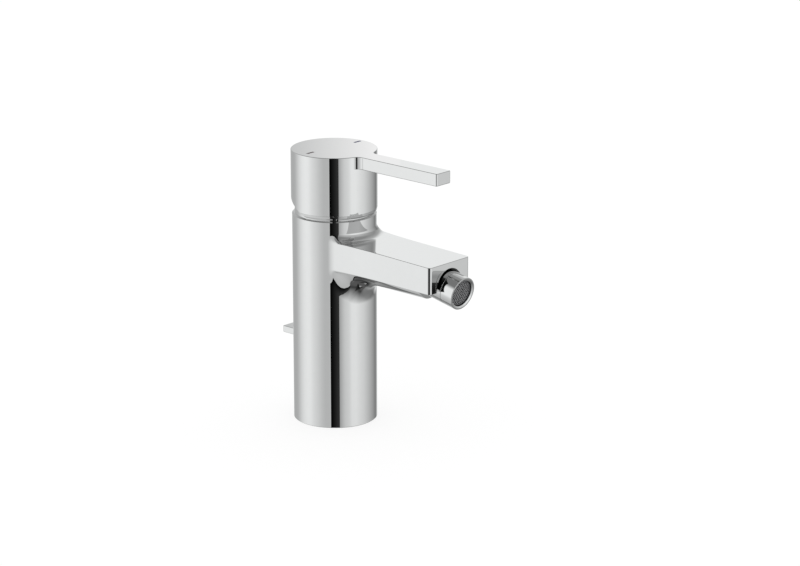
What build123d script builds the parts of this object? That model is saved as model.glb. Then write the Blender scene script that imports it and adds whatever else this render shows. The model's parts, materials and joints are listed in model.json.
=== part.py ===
from build123d import *
from math import cos, hypot, radians, sin, tan
import os

# Single-lever bidet mixer with a swivelling aerator and a pop-up waste rod.
# Frame: origin at the centre of the body's base, +Z up, the spout and the lever point to -Y.
# All lengths are in millimetres.

# Cartridge, from the chamber floor upwards
cartridge_radius = 17.5
chamber_clearance = 0.3
base_plate_thickness = 4.0
base_plate_inset = 0.1
ceramic_thickness = 3.6
fixed_disc_radius = 14.8
moving_disc_radius = 11.0
water_film = 0.05
driver_thickness = 3.6
driver_running_gap = 0.4
carrier_flange_thickness = 3.4
carrier_flange_radius = 14.2
carrier_running_gap = 0.1
shoulder_thickness = 1.8
neck_wall = 2.2
neck_rise = 10.0
carrier_radius = 12.0
carrier_proud = 2.0
housing_disc_room = 0.2
seal_wire = 1.0
seal_seat_depth = 1.6
port_radius = 3.0
port_seal_lip = 1.2
inlet_port_x = 7.0
inlet_port_y = 5.0
outlet_port_y = -9.0
locating_pin_radius = 1.3
locating_pin_length = 2.5
locating_pin_x = 13.2
locating_pin_clearance = 0.15

# Body casting
chamber_wall = 5.2
body_height = 117.0
chamber_depth = 29.0
base_wall = 3.5
body_top_chamfer = 0.8
body_base_chamfer = 0.3
valve_block_height = 24.5
nut_thread_wall = 1.3
nut_height = 5.2
nut_clearance = 0.05
nut_bore_clearance = 0.3
nut_notch_width = 4.0
nut_notch_depth = 1.6
nut_notch_count = 6
dome_foot_length = 4.4
dome_foot_clearance = 0.1
gasket_height = 1.6
gasket_width = 1.6

# Connections under the valve block
inlet_thread_radius = 4.5
inlet_thread_depth = 12.0
inlet_thread_y = 1.0
stud_thread_radius = 3.4
stud_thread_depth = 10.0
stud_y = -12.5

# Spout
spout_width = 32.0
spout_drop = 27.8
spout_reach = 83.5
spout_end_thickness = 14.65
spout_root_thickness = 16.9
spout_root_fillet = 5.0
spout_corner_radius = 1.5
belly_radius = 9.0
belly_centre_rise = 1.2
outlet_drill_radius = 3.0
outlet_low_drop = 10.0
spout_channel_drop = 0.2

# Swivelling nozzle, along its own axis from the ball's centre outwards
nozzle_rest_angle = 11.4
ball_setback = 4.0
ball_rise = 1.9
ball_radius = 6.3
stem_radius = 4.2
stem_bore_radius = 2.6
stem_thread_radius = 5.2
stem_thread_length = 8.0
recess_radius = 10.2
recess_back = 7.8
liner_gap = 0.1
liner_thickness = 0.6
liner_half_height = 2.4
nozzle_radius = 9.05
nozzle_reach = 13.4
sleeve_length = 7.9
socket_back = 6.5
socket_lip_radius = 5.6
socket_spigot_radius = 8.1
socket_spigot_length = 2.8
sleeve_wall = 0.85
joint_groove = 0.15
nozzle_edge = 0.25
nozzle_swing = 6.0
front_seat_length = 2.0
washer_thickness = 0.9
washer_wall = 1.6
aerator_nose_radius = 6.9
aerator_nose_length = 2.4
aerator_recess = 1.2
aerator_wall = 0.7
screen_thickness = 0.4
screen_pitch = 0.95
screen_hole_share = 0.66
screen_turn = 20.0
jet_plate_thickness = 1.0
jet_hole_radius = 0.45
jet_ring_shares = (0.35, 0.72)
jet_ring_counts = (6, 12)

# Handle
handle_overhang = 0.5
handle_height = 34.4
handle_gap = 0.6
handle_wall = 1.45
handle_top_thickness = 2.6
handle_edge = 0.35
skirt_chamfer_width = 0.9
skirt_chamfer_height = 2.0
relief_angle = 25.0
relief_start = 0.75
lever_width = 11.25
lever_thickness = 6.8
lever_reach = 79.0
lever_root_fillet = 2.8
boss_radius = 8.0
boss_length = 17.4
mark_length = 5.3
mark_width = 1.6
mark_depth = 0.4
hot_mark_shares = (-0.70, 0.08)
cold_mark_shares = (0.80, 0.013)

# Spindle, its pin and its screw
pivot_drop = 2.0
spindle_square = 7.0
spindle_fit = 0.05
spindle_end_gap = 0.7
spindle_hub_depth = 8.0
spindle_hub_half_height = 6.0
spindle_tip_radius = 1.6
spindle_tip_gap = 0.35
spindle_tip_side_gap = 0.7
pin_radius = 1.5
pin_inset = 0.4
pin_running_clearance = 0.05
carrier_slot_gap = 0.25
lift_limit = 22.0
grub_screw_radius = 2.5
grub_screw_length = 6.5
grub_screw_above_pivot = 22.0
hex_key_width = 2.5
hex_key_depth = 2.4
hex_key_sides = 6
screw_cap_radius = 3.2

# Dome under the handle, a zone of a sphere around the lever's pivot
dome_clearance = 0.3
dome_wall = 1.4
dome_rise = 10.0
dome_hole_radius = 12.5
dome_foot_inset = 1.1

# Pop-up waste rod
rod_radius = 2.5
rod_y = 14.0
rod_base_gap = 2.0
rod_thread_radius = 2.1
rod_thread_depth = 8.0
rod_engagement = 3.0
rod_travel = 17.0
rod_clearance = 0.3
rod_stop_gap = 0.5
guide_radius = 4.2
guide_base_height = 10.0
guide_length = 8.0
guide_lug_wall = 2.0
guide_flange = 1.0
guide_fit = 0.06
knob_width = 11.0
knob_thickness = 3.7
knob_reach = 34.9
knob_edge = 0.3
knob_neck_width = 6.0
knob_collar_wall = 1.7
slot_clearance = 0.4
slot_top_gap = 0.4

overrun = 5.0

# Radii that stack outwards from the cartridge
chamber_radius = cartridge_radius + chamber_clearance
body_radius = chamber_radius + chamber_wall
handle_radius = body_radius + handle_overhang
nut_radius = chamber_radius + nut_thread_wall
lower_radius = body_radius - base_wall

# Levels
chamber_floor = body_height - chamber_depth
valve_block_bottom = chamber_floor - valve_block_height
pivot_height = body_height - pivot_drop
spout_bottom = body_height - spout_drop
handle_bottom = body_height + handle_gap
handle_top = handle_bottom + handle_height
handle_ceiling = handle_top - handle_top_thickness
base_plate_top = chamber_floor + base_plate_thickness
fixed_disc_top = base_plate_top + ceramic_thickness
moving_disc_bottom = fixed_disc_top + water_film
moving_disc_top = moving_disc_bottom + ceramic_thickness
driver_top = moving_disc_top + driver_thickness
carrier_bottom = driver_top + driver_running_gap
carrier_flange_top = carrier_bottom + carrier_flange_thickness
housing_ceiling = carrier_flange_top + carrier_running_gap
shoulder_top = housing_ceiling + shoulder_thickness
neck_top = shoulder_top + neck_rise
carrier_top = neck_top + carrier_proud
neck_radius = carrier_radius + carrier_running_gap + neck_wall
spindle_tip = moving_disc_top + spindle_tip_gap + spindle_tip_radius
spindle_arm = pivot_height - spindle_tip
disc_travel = spindle_arm * radians(lift_limit)
boss_bottom = handle_ceiling - boss_length
spindle_top = handle_ceiling - spindle_end_gap

# The dome's sphere clears the handle's inner edge by dome_clearance
handle_inner_radius = handle_radius - handle_wall
dome_radius = hypot(handle_inner_radius, handle_bottom - pivot_height) - dome_clearance
dome_top = pivot_height + pivot_drop + dome_rise
dome_inner_radius = dome_radius - dome_wall
dome_foot_radius = dome_radius - dome_foot_inset

# Nozzle frame: its local Z runs along the nozzle, out of the spout
ball_centre = (0, ball_setback - spout_reach, spout_bottom + ball_rise)
nozzle_tilt = radians(nozzle_rest_angle)
nozzle_frame = Plane(origin=ball_centre, x_dir=(1, 0, 0), z_dir=(0, -cos(nozzle_tilt), -sin(nozzle_tilt)))
ring_joint = nozzle_reach - sleeve_length
liner_radius = ball_radius + liner_gap + liner_thickness
socket_bore = liner_radius + liner_gap
aerator_back = ring_joint + socket_spigot_length + washer_thickness
aerator_front = nozzle_reach - aerator_recess
aerator_bore = aerator_nose_radius - aerator_wall
sleeve_bore = nozzle_radius - sleeve_wall

# Rod levels
slot_top = valve_block_bottom - slot_top_gap
knob_top = slot_top - slot_clearance - rod_travel
knob_bottom = knob_top - knob_thickness
rod_top = valve_block_bottom + rod_engagement
collar_radius = rod_radius + knob_collar_wall

full_turn = 360

# Small distances that tell faces and edges apart
tiny_share = 0.001
near_share = 0.02
tiny = tiny_share * body_radius
near = near_share * body_radius


def cylinder(radius, low, high):
    """A cylinder about Z between two levels."""
    return Pos(0, 0, low) * Cylinder(radius, high - low, align=(Align.CENTER, Align.CENTER, Align.MIN))


def ring(outer, inner, low, high):
    """A plain ring about Z between two levels."""
    return cylinder(outer, low, high) - cylinder(inner, low - overrun, high + overrun)


def block(low, high):
    """A box between two corners."""
    size = [b - a for a, b in zip(low, high)]
    return Pos(*low) * Box(*size, align=(Align.MIN, Align.MIN, Align.MIN))


def chosen_edges(shape, chosen, least_length=0):
    """The edges of some length whose two ends and middle all pass a test."""
    long_enough = [e for e in shape.edges() if e.length > least_length]
    return ShapeList([e for e in long_enough if all(chosen(e @ t) for t in (0, 1 / 2, 1))])


def in_nozzle(shape):
    """Places a shape made about Z on the nozzle's axis."""
    return nozzle_frame * shape


def body_casting():
    """The chromed brass body with its spout, chamber, water ways and lower hollow."""
    shell = cylinder(body_radius, 0, body_height)
    root_slope = (spout_root_thickness - spout_end_thickness) / (spout_reach - body_radius)
    axis_thickness = spout_end_thickness + root_slope * spout_reach
    side = Plane.YZ * make_face(Polyline(
        (0, spout_bottom),
        (-spout_reach, spout_bottom),
        (-spout_reach, spout_bottom + spout_end_thickness),
        (0, spout_bottom + axis_thickness),
        close=True))
    bar = extrude(side, amount=spout_width / 2, both=True)

    def at_end_corner(p):
        return abs(p.Y + spout_reach) < tiny and abs(abs(p.X) - spout_width / 2) < tiny

    bar = fillet(chosen_edges(bar, at_end_corner), spout_corner_radius)
    belly_frame = Plane(origin=(0, 0, spout_bottom + belly_centre_rise), x_dir=(1, 0, 0), z_dir=(0, -1, 0))
    belly = belly_frame * cylinder(belly_radius, 0, spout_reach)
    belly -= in_nozzle(cylinder(spout_width, -recess_back, spout_reach))
    body = shell + bar + belly

    def at_root(p):
        reach = hypot(p.X, p.Y)
        level = spout_bottom - belly_radius < p.Z < spout_bottom + axis_thickness + belly_radius
        return abs(reach - body_radius) < near and p.Y < 0 and level

    body = fillet(chosen_edges(body, at_root), spout_root_fillet)
    top_rim = chosen_edges(body, lambda p: abs(p.Z - body_height) < tiny)
    body = chamfer(top_rim, body_top_chamfer)
    base_rim = chosen_edges(body, lambda p: abs(p.Z) < tiny)
    body = chamfer(base_rim, body_base_chamfer)

    # Chamber for the cartridge, the nut's bore above it and the dome's seat above that
    nut_seat = shoulder_top - nut_clearance
    dome_seat = body_height - dome_foot_length - dome_foot_clearance
    body -= cylinder(chamber_radius, chamber_floor, body_height + overrun)
    body -= cylinder(nut_radius + nut_clearance, nut_seat, body_height + overrun)
    body -= cylinder(dome_foot_radius + dome_foot_clearance, dome_seat, body_height + overrun)

    # Lower hollow and the groove of the base gasket
    body -= cylinder(lower_radius, -overrun, valve_block_bottom)
    gasket_middle = (lower_radius + body_radius) / 2
    gasket_outer = gasket_middle + gasket_width / 2
    body -= ring(gasket_outer, gasket_outer - gasket_width, -overrun, gasket_height)

    # Inlet threads and passages, the stud's thread and the outlet's way to the spout
    for side_x in (-inlet_port_x, inlet_port_x):
        thread_top = valve_block_bottom + inlet_thread_depth
        thread = cylinder(inlet_thread_radius, valve_block_bottom - overrun, thread_top)
        body -= Pos(side_x, inlet_thread_y, 0) * thread
        passage_start = (side_x, inlet_thread_y, thread_top - port_radius)
        passage = Line(passage_start, (side_x, inlet_port_y, chamber_floor))
        body -= drilling(passage, port_radius)
    stud_top = valve_block_bottom + stud_thread_depth
    body -= Pos(0, stud_y, 0) * cylinder(stud_thread_radius, valve_block_bottom - overrun, stud_top)
    low_point = (0, outlet_port_y, chamber_floor - outlet_low_drop)
    knee = (0, -body_radius - outlet_drill_radius, channel_level())
    body -= drilling(Line(low_point, (0, outlet_port_y, chamber_floor + tiny)), outlet_drill_radius)
    body -= Pos(*low_point) * Sphere(outlet_drill_radius)
    body -= drilling(Line(low_point, knee), outlet_drill_radius)
    body -= Pos(*knee) * Sphere(outlet_drill_radius)
    channel_end = stem_seat_point()
    body -= drilling(Line(knee, channel_end), outlet_drill_radius)
    for side_x in (-locating_pin_x, locating_pin_x):
        pin_hole = cylinder(locating_pin_radius + locating_pin_clearance,
                            chamber_floor - locating_pin_length - locating_pin_clearance, chamber_floor)
        body -= Pos(side_x, 0, 0) * pin_hole

    # Nozzle recess and the thread of the ball stem
    body -= in_nozzle(cylinder(recess_radius, -recess_back, spout_reach))
    body -= in_nozzle(cylinder(stem_thread_radius, -recess_back - stem_thread_length, 0))

    # Rod: its guide lug, the blind hole in the valve block and the slot in the rear wall
    lug_radius = guide_radius + guide_lug_wall
    guide_top = guide_base_height + guide_length
    lug = Pos(0, rod_y, 0) * cylinder(lug_radius, guide_base_height, guide_top)
    lug += block((-lug_radius, rod_y, guide_base_height), (lug_radius, body_radius, guide_top))
    body += lug & cylinder(body_radius - base_wall / 2, 0, body_height)
    body -= Pos(0, rod_y, 0) * cylinder(guide_radius, guide_base_height - overrun, guide_top + tiny)
    rod_hole_top = rod_top + rod_travel + rod_stop_gap
    rod_hole = cylinder(rod_radius + rod_clearance, valve_block_bottom - overrun, rod_hole_top)
    body -= Pos(0, rod_y, 0) * rod_hole
    slot_half = knob_neck_width / 2 + slot_clearance
    slot_bottom = knob_bottom - slot_clearance
    body -= block((-slot_half, rod_y, slot_bottom), (slot_half, body_radius + overrun, slot_top))
    return body


def channel_level():
    """The level of the water channel along the spout."""
    return spout_bottom + belly_centre_rise - spout_channel_drop


def stem_seat_point():
    """The point on the nozzle's axis where the stem's thread begins."""
    reach = recess_back + stem_thread_length
    x, y, z = ball_centre
    return (x, y + reach * cos(nozzle_tilt), z + reach * sin(nozzle_tilt))


def drilling(path, radius):
    """A straight round hole along a line."""
    start = path @ 0
    along = path % 0
    frame = Plane(origin=start, z_dir=along)
    return frame * cylinder(radius, 0, path.length)


def cartridge_housing():
    """The cartridge's plastic shell: a cup over the discs with a neck for the carrier."""
    housing = cylinder(cartridge_radius, base_plate_top, shoulder_top)
    housing += cylinder(neck_radius, base_plate_top, neck_top)
    disc_room = fixed_disc_radius + housing_disc_room
    housing -= cylinder(disc_room, base_plate_top - overrun, housing_ceiling)
    housing -= cylinder(carrier_radius + carrier_running_gap, base_plate_top, neck_top + overrun)
    return housing


def port_places():
    """The centres of the two inlet ports and the outlet port."""
    return [(-inlet_port_x, inlet_port_y), (inlet_port_x, inlet_port_y), (0, outlet_port_y)]


def cartridge_base():
    """The plate under the cartridge, with its ports, seal seats and two locating pins."""
    base = cylinder(cartridge_radius - base_plate_inset, chamber_floor, base_plate_top)
    port = cylinder(port_radius, chamber_floor - overrun, base_plate_top + overrun)
    port += cylinder(port_radius + port_seal_lip, chamber_floor - overrun, chamber_floor + seal_seat_depth)
    for x, y in port_places():
        base -= Pos(x, y, 0) * port
    pin = cylinder(locating_pin_radius, chamber_floor - locating_pin_length, chamber_floor)
    for x in (-locating_pin_x, locating_pin_x):
        base += Pos(x, 0, 0) * pin
    return base


def port_seals():
    """Three identical rubber sleeves that seal the ports against the chamber's floor."""
    seal = ring(port_radius + port_seal_lip, port_radius, chamber_floor, chamber_floor + seal_seat_depth)
    return Compound(children=[Pos(x, y, 0) * seal for x, y in port_places()])


def fixed_disc():
    """The lower ceramic disc, with a window over each port."""
    disc = cylinder(fixed_disc_radius, base_plate_top, fixed_disc_top)
    for x, y in port_places():
        disc -= Pos(x, y, 0) * cylinder(port_radius, base_plate_top - overrun, fixed_disc_top + overrun)
    return disc


def moving_disc():
    """The upper ceramic disc, with the mixing pocket in its underside. It rests in the closed place."""
    disc = cylinder(moving_disc_radius, moving_disc_bottom, moving_disc_top)
    pocket = cylinder(moving_disc_radius - ceramic_thickness, moving_disc_bottom - overrun,
                      moving_disc_bottom + ceramic_thickness / 2)
    return Pos(0, disc_travel / 2, 0) * (disc - pocket)


def disc_driver():
    """The plastic plate on the moving disc, with the pocket for the spindle's tip."""
    driver = Pos(0, disc_travel / 2, 0) * cylinder(moving_disc_radius, moving_disc_top, driver_top)
    half_x = spindle_square / 2 + carrier_slot_gap
    half_y = spindle_tip_radius + spindle_tip_side_gap
    pocket_bottom = moving_disc_top - overrun
    return driver - block((-half_x, -half_y, pocket_bottom), (half_x, half_y, driver_top + overrun))


def rotary_carrier():
    """The plastic rotor that carries the lever's pin and turns with the handle."""
    carrier = cylinder(carrier_radius, carrier_bottom, carrier_top)
    carrier += cylinder(carrier_flange_radius, carrier_bottom, carrier_flange_top)
    half_x = spindle_square / 2 + carrier_slot_gap
    lift = radians(lift_limit)
    top_reach = spindle_hub_depth / 2 / cos(lift) + (carrier_top - pivot_height) * tan(lift)
    tip_reach = spindle_tip_radius / cos(lift) + (pivot_height - carrier_bottom) * tan(lift)
    half_y = max(top_reach, tip_reach) + carrier_slot_gap
    carrier -= block((-half_x, -half_y, carrier_bottom - overrun), (half_x, half_y, carrier_top + overrun))
    carrier -= pin_bore(pin_radius, carrier_radius)
    return carrier - seal_ring(carrier_radius + overrun)


def seal_ring(outer):
    """A ring at the carrier's seal groove, between the pin and the neck's top."""
    middle = (pivot_height + pin_radius + neck_top) / 2
    return ring(outer, carrier_radius - seal_wire, middle - seal_wire / 2, middle + seal_wire / 2)


def pin_bore(radius, half_length):
    """A round rod along X through the lever's pivot."""
    frame = Plane(origin=(0, 0, pivot_height), z_dir=(1, 0, 0))
    return frame * cylinder(radius, -half_length, half_length)


def pivot_pin():
    """The steel pin that the spindle tilts on."""
    return pin_bore(pin_radius, carrier_radius - pin_inset)


def carrier_seal():
    """The rubber ring in the carrier's groove."""
    return seal_ring(carrier_radius)


def spindle():
    """The metal lever arm inside the cartridge, with its square end in the handle."""
    half = spindle_square / 2
    hub_half = spindle_hub_depth / 2
    hub_bottom = pivot_height - spindle_hub_half_height
    hub_top = pivot_height + spindle_hub_half_height
    arm = block((-half, -spindle_tip_radius, spindle_tip), (half, spindle_tip_radius, hub_bottom))
    hub = block((-half, -hub_half, hub_bottom), (half, hub_half, hub_top))
    square = block((-half, -half, hub_top), (half, half, spindle_top))
    tip_frame = Plane(origin=(0, 0, spindle_tip), z_dir=(1, 0, 0))
    tip = tip_frame * cylinder(spindle_tip_radius, -half, half)
    return arm + hub + square + tip - pin_bore(pin_radius + pin_running_clearance, carrier_radius)


def cartridge_nut():
    """The brass ring nut that holds the cartridge down, with notches for its key."""
    low = shoulder_top
    high = shoulder_top + nut_height
    nut = ring(nut_radius, neck_radius + nut_bore_clearance, low, high)
    for turn in range(nut_notch_count):
        notch = block((-nut_notch_width / 2, neck_radius, high - nut_notch_depth),
                      (nut_notch_width / 2, nut_radius + overrun, high + overrun))
        nut -= Rot(0, 0, full_turn * turn / nut_notch_count) * notch
    return nut


def trim_dome():
    """The chromed dome that covers the nut, with a foot that seats in the body."""
    centre = Pos(0, 0, pivot_height)
    zone = cylinder(dome_radius, body_height, dome_top) & (centre * Sphere(dome_radius))
    hollow_zone = cylinder(dome_radius, body_height - overrun, dome_top - dome_wall)
    hollow = centre * Sphere(dome_inner_radius) & hollow_zone
    foot_bottom = body_height - dome_foot_length
    foot = ring(dome_foot_radius, dome_foot_radius - dome_wall, foot_bottom, body_height + dome_wall)
    dome = zone - hollow - cylinder(dome_hole_radius, body_height - overrun, dome_top + overrun)
    dome -= cylinder(dome_foot_radius - dome_wall, body_height - overrun, body_height + tiny)
    return dome + (foot & cylinder(dome_foot_radius, 0, body_height + dome_wall / 2))


def base_gasket():
    """The rubber ring in the groove of the body's base."""
    middle = (lower_radius + body_radius) / 2
    return ring(middle + gasket_width / 2, middle - gasket_width / 2, 0, gasket_height)


def handle():
    """The chromed cap and its lever in one casting, with the socket for the spindle."""
    cap = cylinder(handle_radius, handle_bottom, handle_top)
    bottom_rim = chosen_edges(cap, lambda p: abs(p.Z - handle_bottom) < tiny)
    cap = chamfer(bottom_rim, skirt_chamfer_height, skirt_chamfer_width, reference=lower_wall(cap))
    lever_bottom = handle_top - lever_thickness
    outline = Circle(handle_radius) + Pos(0, -lever_reach / 2) * Rectangle(lever_width, lever_reach)
    at_side = [v for v in outline.vertices() if abs(abs(v.X) - lever_width / 2) < near]
    outline = fillet([v for v in at_side if v.Y > -lever_reach / 2], lever_root_fillet)
    plate = Pos(0, 0, lever_bottom) * extrude(outline, amount=lever_thickness)
    body = cap + plate
    top_rim = chosen_edges(body, lambda p: abs(p.Z - handle_top) < tiny)
    body = chamfer(top_rim, handle_edge)
    body -= cylinder(handle_inner_radius, handle_bottom - overrun, handle_ceiling)
    body += cylinder(boss_radius, boss_bottom, handle_ceiling + handle_top_thickness / 2)
    socket = spindle_square / 2 + spindle_fit
    body -= block((-socket, -socket, boss_bottom - overrun), (socket, socket, spindle_top + spindle_fit))
    body -= relief_wedge()
    body -= screw_axis() * cylinder(grub_screw_radius, 0, handle_radius - handle_wall)
    cap_seat = handle_radius - handle_wall - tiny
    body -= screw_axis() * cylinder(screw_cap_radius, cap_seat, handle_radius + overrun)
    for mark in (hot_mark(), cold_mark()):
        body -= mark
    return body


def lower_wall(cap):
    """The upright face that the skirt's chamfer is measured along."""
    return max(cap.faces(), key=lambda face: face.area)


def relief_wedge():
    """The slope cut under the handle's rear so that it can tip back over the body."""
    start = -relief_start
    reach = handle_radius + overrun
    rise = (reach - start) * tan(radians(relief_angle))
    low = handle_bottom - tiny
    outline = Plane.YZ * make_face(Polyline((start, low), (reach, low), (reach, low + rise), close=True))
    return extrude(outline, amount=reach, both=True)


def screw_axis():
    """The frame of the screw that holds the handle: its local Z points to the rear."""
    return Plane(origin=(0, 0, pivot_height + grub_screw_above_pivot), z_dir=(0, 1, 0))


def grub_screw():
    """The socket screw that grips the spindle through the boss."""
    start = spindle_square / 2
    screw = cylinder(grub_screw_radius, start, start + grub_screw_length)
    hexagon = RegularPolygon(hex_key_width / 2, hex_key_sides, major_radius=False)
    key = extrude(hexagon, amount=hex_key_depth + overrun)
    screw -= Pos(0, 0, start + grub_screw_length - hex_key_depth) * key
    return screw_axis() * screw


def screw_cap():
    """The plug that closes the screw's hole in the handle's rear."""
    outer = screw_axis() * cylinder(screw_cap_radius, handle_radius - handle_wall, handle_radius)
    return outer & cylinder(handle_radius, handle_bottom, handle_top)


def mark(shares):
    """A shallow enamel dash let into the handle's top."""
    x, y = (share * handle_radius for share in shares)
    low = (x - mark_length / 2, y - mark_width / 2, handle_top - mark_depth)
    high = (x + mark_length / 2, y + mark_width / 2, handle_top)
    return block(low, high)


def hot_mark():
    """The dash on the hot side."""
    return mark(hot_mark_shares)


def cold_mark():
    """The dash on the cold side."""
    return mark(cold_mark_shares)


def ball_stem():
    """The hollow brass stem, screwed into the spout, with the ball that the nozzle swivels on."""
    back = -recess_back - stem_thread_length
    stem = cylinder(stem_thread_radius, back, -recess_back)
    stem += cylinder(stem_radius, back, 0)
    stem += Sphere(ball_radius)
    stem -= cylinder(stem_bore_radius, back - overrun, ball_radius + overrun)
    return in_nozzle(stem)


def seat_liner():
    """The slippery zone of a sphere between the ball and its socket."""
    zone = Sphere(liner_radius) - Sphere(ball_radius + liner_gap)
    return in_nozzle(zone & cylinder(liner_radius, -liner_half_height, liner_half_height))


def swivel_socket():
    """The rear half of the nozzle, whose spherical socket holds the ball."""
    spigot_end = ring_joint + socket_spigot_length
    socket = cylinder(nozzle_radius, -socket_back, ring_joint)
    socket += cylinder(socket_spigot_radius, 0, spigot_end)
    socket -= Sphere(socket_bore)
    socket -= cylinder(socket_bore, 0, spigot_end + overrun)
    socket -= cylinder(socket_lip_radius, -socket_back - overrun, 0)
    return in_nozzle(socket)


def front_seat():
    """The ring in front of the ball that keeps it in the socket."""
    tilt_room = socket_bore * tan(radians(nozzle_swing))
    low = liner_half_height + liner_gap + tilt_room
    seat = cylinder(socket_bore - liner_gap, low, low + front_seat_length)
    return in_nozzle(seat - Sphere(ball_radius + liner_gap))


def nozzle_sleeve():
    """The front half of the nozzle, screwed over the socket's spigot."""
    sleeve = cylinder(nozzle_radius, ring_joint + joint_groove, nozzle_reach)
    rims = chosen_edges(sleeve, lambda p: abs(hypot(p.X, p.Y) - nozzle_radius) < tiny, nozzle_radius * 2)
    sleeve = chamfer(rims, nozzle_edge)
    return in_nozzle(sleeve - cylinder(sleeve_bore, 0, nozzle_reach + overrun))


def aerator_washer():
    """The flat rubber washer between the socket and the aerator."""
    low = ring_joint + socket_spigot_length
    return in_nozzle(ring(sleeve_bore - joint_groove / 2, sleeve_bore - washer_wall, low, aerator_back))


def aerator_housing():
    """The plastic cup of the aerator, with a slim nose inside the nozzle's mouth."""
    nose_back = aerator_front - aerator_nose_length
    housing = cylinder(aerator_nose_radius, aerator_back, aerator_front)
    housing += cylinder(sleeve_bore - joint_groove / 2, aerator_back, nose_back)
    return in_nozzle(housing - cylinder(aerator_bore, aerator_back - overrun, aerator_front + overrun))


def jet_plate():
    """The perforated plate at the back of the aerator."""
    plate = cylinder(aerator_bore, aerator_back, aerator_back + jet_plate_thickness)
    hole = cylinder(jet_hole_radius, aerator_back - overrun, aerator_front)
    for share, count in zip(jet_ring_shares, jet_ring_counts):
        for turn in range(count):
            plate -= Rot(0, 0, full_turn * turn / count) * Pos(share * aerator_bore, 0, 0) * hole
    return in_nozzle(plate)


def aerator_screen():
    """The fine net across the aerator's mouth, made as one holed sheet."""
    hole = screen_pitch * screen_hole_share
    reach = int(aerator_bore / screen_pitch)
    rows = range(-reach, reach + 1)
    places = [(screen_pitch * i, screen_pitch * j) for i in rows for j in rows]
    inside = [place for place in places if hypot(*place) < aerator_bore - screen_pitch]
    net = Circle(aerator_bore) - Locations(*inside) * Rectangle(hole, hole)
    sheet = extrude(net, amount=screen_thickness)
    return in_nozzle(Rot(0, 0, screen_turn) * Pos(0, 0, aerator_front - screen_thickness) * sheet)


def lift_rod():
    """The pop-up rod inside the body, with a thread in its lower end for the linkage."""
    rod = cylinder(rod_radius, rod_base_gap, rod_top)
    rod -= cylinder(rod_thread_radius, rod_base_gap - overrun, rod_base_gap + rod_thread_depth)
    return Pos(0, rod_y, 0) * rod


def rod_guide():
    """The plastic bush that guides the rod in the body's lug."""
    bush = cylinder(guide_radius, guide_base_height - guide_flange, guide_base_height + guide_length)
    return Pos(0, rod_y, 0) * (bush - cylinder(rod_radius + guide_fit, 0, rod_top))


def rod_knob():
    """The chromed tab behind the body, with its neck and the collar on the rod."""
    half_neck = knob_neck_width / 2
    tab_start = body_radius + slot_clearance
    tab = block((-knob_width / 2, tab_start, knob_bottom), (knob_width / 2, knob_reach, knob_top))
    tab = chamfer(tab.edges(), knob_edge)
    neck_end = tab_start + knob_edge * 2
    neck = block((-half_neck, rod_y, knob_bottom), (half_neck, neck_end, knob_top))
    collar = Pos(0, rod_y, 0) * cylinder(collar_radius, knob_bottom, knob_top)
    return tab + neck + collar - Pos(0, rod_y, 0) * cylinder(rod_radius, 0, rod_top)


makers = [
    body_casting, base_gasket, rod_guide, cartridge_base, port_seals, fixed_disc, cartridge_housing,
    cartridge_nut, trim_dome, moving_disc, disc_driver, rotary_carrier, pivot_pin, carrier_seal,
    spindle, handle, grub_screw, screw_cap, hot_mark, cold_mark, ball_stem, seat_liner,
    swivel_socket, front_seat, nozzle_sleeve, aerator_washer, aerator_housing, jet_plate,
    aerator_screen, lift_rod, rod_knob,
]

os.makedirs("parts", exist_ok=True)
for make in makers:
    export_step(make(), f"parts/{make.__name__}.step")
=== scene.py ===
import json
from functools import partial
from math import asin, atan2, ceil, copysign, cos, hypot, pi, radians, sin, sqrt, tan

import bpy
import numpy as np
from mathutils import Matrix, Vector


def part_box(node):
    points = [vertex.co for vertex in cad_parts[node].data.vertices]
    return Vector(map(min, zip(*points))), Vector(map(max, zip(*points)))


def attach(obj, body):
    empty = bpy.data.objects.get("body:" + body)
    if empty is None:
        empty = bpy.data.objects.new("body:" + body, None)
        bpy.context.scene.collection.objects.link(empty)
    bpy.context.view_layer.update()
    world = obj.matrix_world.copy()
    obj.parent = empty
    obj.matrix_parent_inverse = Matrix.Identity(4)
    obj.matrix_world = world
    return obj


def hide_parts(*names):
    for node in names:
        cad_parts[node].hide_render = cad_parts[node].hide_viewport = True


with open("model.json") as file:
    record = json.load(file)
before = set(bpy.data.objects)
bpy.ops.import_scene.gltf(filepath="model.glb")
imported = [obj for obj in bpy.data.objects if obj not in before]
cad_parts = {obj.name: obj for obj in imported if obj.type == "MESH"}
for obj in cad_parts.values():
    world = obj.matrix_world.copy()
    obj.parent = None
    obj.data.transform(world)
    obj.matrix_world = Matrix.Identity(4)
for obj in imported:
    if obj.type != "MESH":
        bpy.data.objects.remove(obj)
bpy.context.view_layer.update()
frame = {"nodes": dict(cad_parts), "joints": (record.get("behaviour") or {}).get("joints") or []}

# Sizes below are in millimetres, and mm turns them into Blender's metres. A hair is too small to see
mm = 0.001
right_angle = pi / 2
half_turn = pi
full_turn = 2 * pi
hair = 0.001


def low(node):
    """The lowest corner of a CAD node."""
    return [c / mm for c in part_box(node)[0]]


def high(node):
    """The highest corner of a CAD node."""
    return [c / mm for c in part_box(node)[1]]


joints = {joint["name"]: joint for joint in frame["joints"]}

# Sizes read from the frame
body_radius = high("body_casting")[0]
body_top = high("body_casting")[2]
spout_reach = -low("body_casting")[1]
handle_radius = high("handle")[0]
handle_bottom = low("handle")[2]
handle_top = high("handle")[2]
lever_reach = -low("handle")[1]
pivot_height = joints["lever_lift"]["pos_m"][2] / mm
ball_centre = Vector(joints["nozzle_swing"]["pos_m"]) / mm
swing_axis = Vector(joints["nozzle_swing"]["axis"])
nozzle_way = Vector((0, -swing_axis.z, swing_axis.y))

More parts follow.
